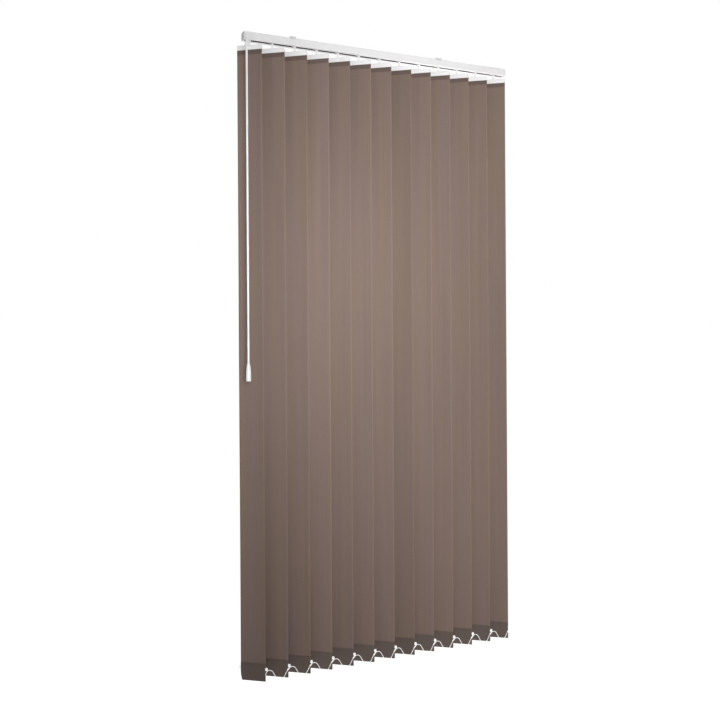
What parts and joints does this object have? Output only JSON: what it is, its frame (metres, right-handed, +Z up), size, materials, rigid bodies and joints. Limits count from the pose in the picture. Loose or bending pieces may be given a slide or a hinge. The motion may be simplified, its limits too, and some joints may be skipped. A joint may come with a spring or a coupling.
{
  "type": "vertical blind",
  "caption": "Ceiling-fixed vertical blind: fabric vanes hang from trucks in a slotted track, joined by bead chains at the foot, and a wand turns and draws them.",
  "frame": {"origin": "on the ceiling plane, midway between the screw holes of the two ceiling clips", "axes": "+X along the track away from the wand, +Y towards the window, +Z up"},
  "size_m": [1.0836, 0.0886, 2.2165],
  "materials": {
    "rail_white": "satin white powder coat",
    "cap_white": "satin moulded",
    "clip_white": "satin white",
    "rod_metal": "drawn",
    "carrier_plastic": "moulded",
    "hanger_plastic": "moulded",
    "vane_fabric": "close woven, stiffened",
    "weight_plastic": "moulded",
    "chain_plastic": "moulded",
    "wand_plastic": "smooth"
  },
  "bodies": {
    "rail": {"headrail": "rail_white", "end_caps": "cap_white", "mounting_clips": "clip_white", "carrier_13": "carrier_plastic"},
    "rod": {"tilt_rod": "rod_metal"},
    "carrier_01": {"carrier_01": "carrier_plastic"},
    "carrier_02": {"carrier_02": "carrier_plastic"},
    "carrier_03": {"carrier_03": "carrier_plastic"},
    "carrier_04": {"carrier_04": "carrier_plastic"},
    "carrier_05": {"carrier_05": "carrier_plastic"},
    "carrier_06": {"carrier_06": "carrier_plastic"},
    "carrier_07": {"carrier_07": "carrier_plastic"},
    "carrier_08": {"carrier_08": "carrier_plastic"},
    "carrier_09": {"carrier_09": "carrier_plastic"},
    "carrier_10": {"carrier_10": "carrier_plastic"},
    "carrier_11": {"carrier_11": "carrier_plastic"},
    "carrier_12": {"carrier_12": "carrier_plastic"},
    "vane_01": {"hanger_01": "hanger_plastic", "vane_01": "vane_fabric", "weight_01": "weight_plastic"},
    "vane_02": {"hanger_02": "hanger_plastic", "vane_02": "vane_fabric", "weight_02": "weight_plastic"},
    "vane_03": {"hanger_03": "hanger_plastic", "vane_03": "vane_fabric", "weight_03": "weight_plastic"},
    "vane_04": {"hanger_04": "hanger_plastic", "vane_04": "vane_fabric", "weight_04": "weight_plastic"},
    "vane_05": {"hanger_05": "hanger_plastic", "vane_05": "vane_fabric", "weight_05": "weight_plastic"},
    "vane_06": {"hanger_06": "hanger_plastic", "vane_06": "vane_fabric", "weight_06": "weight_plastic"},
    "vane_07": {"hanger_07": "hanger_plastic", "vane_07": "vane_fabric", "weight_07": "weight_plastic"},
    "vane_08": {"hanger_08": "hanger_plastic", "vane_08": "vane_fabric", "weight_08": "weight_plastic"},
    "vane_09": {"hanger_09": "hanger_plastic", "vane_09": "vane_fabric", "weight_09": "weight_plastic"},
    "vane_10": {"hanger_10": "hanger_plastic", "vane_10": "vane_fabric", "weight_10": "weight_plastic"},
    "vane_11": {"hanger_11": "hanger_plastic", "vane_11": "vane_fabric", "weight_11": "weight_plastic"},
    "vane_12": {"hanger_12": "hanger_plastic", "vane_12": "vane_fabric", "weight_12": "weight_plastic"},
    "vane_13": {"hanger_13": "hanger_plastic", "vane_13": "vane_fabric", "weight_13": "weight_plastic"},
    "wand_connector": {"wand_connector": "wand_plastic"},
    "wand": {"wand": "wand_plastic"},
    "chain_front": {"chain_front": "chain_plastic"},
    "chain_rear": {"chain_rear": "chain_plastic"}
  },
  "joints": [
    {"name": "traverse", "type": "slide", "parent": "rail", "child": "carrier_01", "axis": [1, 0, 0], "range_m": [0, 0.744], "deforming": ["chain_front", "chain_rear"]},
    {"name": "slide_02", "type": "slide", "parent": "rail", "child": "carrier_02", "axis": [1, 0, 0], "range_m": [0, 0.682]},
    {"name": "slide_03", "type": "slide", "parent": "rail", "child": "carrier_03", "axis": [1, 0, 0], "range_m": [0, 0.62]},
    {"name": "slide_04", "type": "slide", "parent": "rail", "child": "carrier_04", "axis": [1, 0, 0], "range_m": [0, 0.558]},
    {"name": "slide_05", "type": "slide", "parent": "rail", "child": "carrier_05", "axis": [1, 0, 0], "range_m": [0, 0.496]},
    {"name": "slide_06", "type": "slide", "parent": "rail", "child": "carrier_06", "axis": [1, 0, 0], "range_m": [0, 0.434]},
    {"name": "slide_07", "type": "slide", "parent": "rail", "child": "carrier_07", "axis": [1, 0, 0], "range_m": [0, 0.372]},
    {"name": "slide_08", "type": "slide", "parent": "rail", "child": "carrier_08", "axis": [1, 0, 0], "range_m": [0, 0.31]},
    {"name": "slide_09", "type": "slide", "parent": "rail", "child": "carrier_09", "axis": [1, 0, 0], "range_m": [0, 0.248]},
    {"name": "slide_10", "type": "slide", "parent": "rail", "child": "carrier_10", "axis": [1, 0, 0], "range_m": [0, 0.186]},
    {"name": "slide_11", "type": "slide", "parent": "rail", "child": "carrier_11", "axis": [1, 0, 0], "range_m": [0, 0.124]},
    {"name": "slide_12", "type": "slide", "parent": "rail", "child": "carrier_12", "axis": [1, 0, 0], "range_m": [0, 0.062]},
    {"name": "wand_swing", "type": "hinge", "parent": "carrier_01", "child": "wand_connector", "pos_m": [-0.4663, -0.048, -0.041], "axis": [-1, 0, 0], "range_deg": [0, 40]},
    {"name": "wand_turn", "type": "hinge", "parent": "wand_connector", "child": "wand", "pos_m": [-0.4663, -0.048, -0.06], "axis": [0, 0, 1], "range_deg": [-1056, 208]},
    {"name": "rod_turn", "type": "hinge", "parent": "rail", "child": "rod", "pos_m": [0, 0.008, -0.0165], "axis": [1, 0, 0], "range_deg": [-1056, 208]},
    {"name": "tilt_01", "type": "hinge", "parent": "carrier_01", "child": "vane_01", "pos_m": [-0.442, 0, -0.05], "axis": [0, 0, 1], "range_deg": [-132, 26]},
    {"name": "tilt_02", "type": "hinge", "parent": "carrier_02", "child": "vane_02", "pos_m": [-0.36, 0, -0.05], "axis": [0, 0, 1], "range_deg": [-132, 26]},
    {"name": "tilt_03", "type": "hinge", "parent": "carrier_03", "child": "vane_03", "pos_m": [-0.278, 0, -0.05], "axis": [0, 0, 1], "range_deg": [-132, 26]},
    {"name": "tilt_04", "type": "hinge", "parent": "carrier_04", "child": "vane_04", "pos_m": [-0.196, 0, -0.05], "axis": [0, 0, 1], "range_deg": [-132, 26]},
    {"name": "tilt_05", "type": "hinge", "parent": "carrier_05", "child": "vane_05", "pos_m": [-0.114, 0, -0.05], "axis": [0, 0, 1], "range_deg": [-132, 26]},
    {"name": "tilt_06", "type": "hinge", "parent": "carrier_06", "child": "vane_06", "pos_m": [-0.032, 0, -0.05], "axis": [0, 0, 1], "range_deg": [-132, 26]},
    {"name": "tilt_07", "type": "hinge", "parent": "carrier_07", "child": "vane_07", "pos_m": [0.05, 0, -0.05], "axis": [0, 0, 1], "range_deg": [-132, 26]},
    {"name": "tilt_08", "type": "hinge", "parent": "carrier_08", "child": "vane_08", "pos_m": [0.132, 0, -0.05], "axis": [0, 0, 1], "range_deg": [-132, 26]},
    {"name": "tilt_09", "type": "hinge", "parent": "carrier_09", "child": "vane_09", "pos_m": [0.214, 0, -0.05], "axis": [0, 0, 1], "range_deg": [-132, 26]},
    {"name": "tilt_10", "type": "hinge", "parent": "carrier_10", "child": "vane_10", "pos_m": [0.296, 0, -0.05], "axis": [0, 0, 1], "range_deg": [-132, 26]},
    {"name": "tilt_11", "type": "hinge", "parent": "carrier_11", "child": "vane_11", "pos_m": [0.378, 0, -0.05], "axis": [0, 0, 1], "range_deg": [-132, 26]},
    {"name": "tilt_12", "type": "hinge", "parent": "carrier_12", "child": "vane_12", "pos_m": [0.46, 0, -0.05], "axis": [0, 0, 1], "range_deg": [-132, 26]},
    {"name": "tilt_13", "type": "hinge", "parent": "rail", "child": "vane_13", "pos_m": [0.542, 0, -0.05], "axis": [0, 0, 1], "range_deg": [-132, 26]},
    {"name": "chain_front_turn", "type": "hinge", "parent": "vane_01", "child": "chain_front", "pos_m": [-0.40167, -0.03039, -2.1785], "axis": [0, 0, 1], "range_deg": [-26, 132]},
    {"name": "chain_rear_turn", "type": "hinge", "parent": "vane_01", "child": "chain_rear", "pos_m": [-0.48233, 0.03039, -2.1785], "axis": [0, 0, 1], "range_deg": [-26, 132]}
  ],
  "couplings": [
    {"joint": "slide_02", "follows": "traverse", "ratio": 0.91667},
    {"joint": "slide_03", "follows": "traverse", "ratio": 0.83333},
    {"joint": "slide_04", "follows": "traverse", "ratio": 0.75},
    {"joint": "slide_05", "follows": "traverse", "ratio": 0.66667},
    {"joint": "slide_06", "follows": "traverse", "ratio": 0.58333},
    {"joint": "slide_07", "follows": "traverse", "ratio": 0.5},
    {"joint": "slide_08", "follows": "traverse", "ratio": 0.41667},
    {"joint": "slide_09", "follows": "traverse", "ratio": 0.33333},
    {"joint": "slide_10", "follows": "traverse", "ratio": 0.25},
    {"joint": "slide_11", "follows": "traverse", "ratio": 0.16667},
    {"joint": "slide_12", "follows": "traverse", "ratio": 0.083333},
    {"joint": "rod_turn", "follows": "wand_turn", "ratio": 1},
    {"joint": "tilt_01", "follows": "wand_turn", "ratio": 0.125},
    {"joint": "tilt_02", "follows": "wand_turn", "ratio": 0.125},
    {"joint": "tilt_03", "follows": "wand_turn", "ratio": 0.125},
    {"joint": "tilt_04", "follows": "wand_turn", "ratio": 0.125},
    {"joint": "tilt_05", "follows": "wand_turn", "ratio": 0.125},
    {"joint": "tilt_06", "follows": "wand_turn", "ratio": 0.125},
    {"joint": "tilt_07", "follows": "wand_turn", "ratio": 0.125},
    {"joint": "tilt_08", "follows": "wand_turn", "ratio": 0.125},
    {"joint": "tilt_09", "follows": "wand_turn", "ratio": 0.125},
    {"joint": "tilt_10", "follows": "wand_turn", "ratio": 0.125},
    {"joint": "tilt_11", "follows": "wand_turn", "ratio": 0.125},
    {"joint": "tilt_12", "follows": "wand_turn", "ratio": 0.125},
    {"joint": "tilt_13", "follows": "wand_turn", "ratio": 0.125},
    {"joint": "chain_front_turn", "follows": "wand_turn", "ratio": -0.125},
    {"joint": "chain_rear_turn", "follows": "wand_turn", "ratio": -0.125}
  ]
}
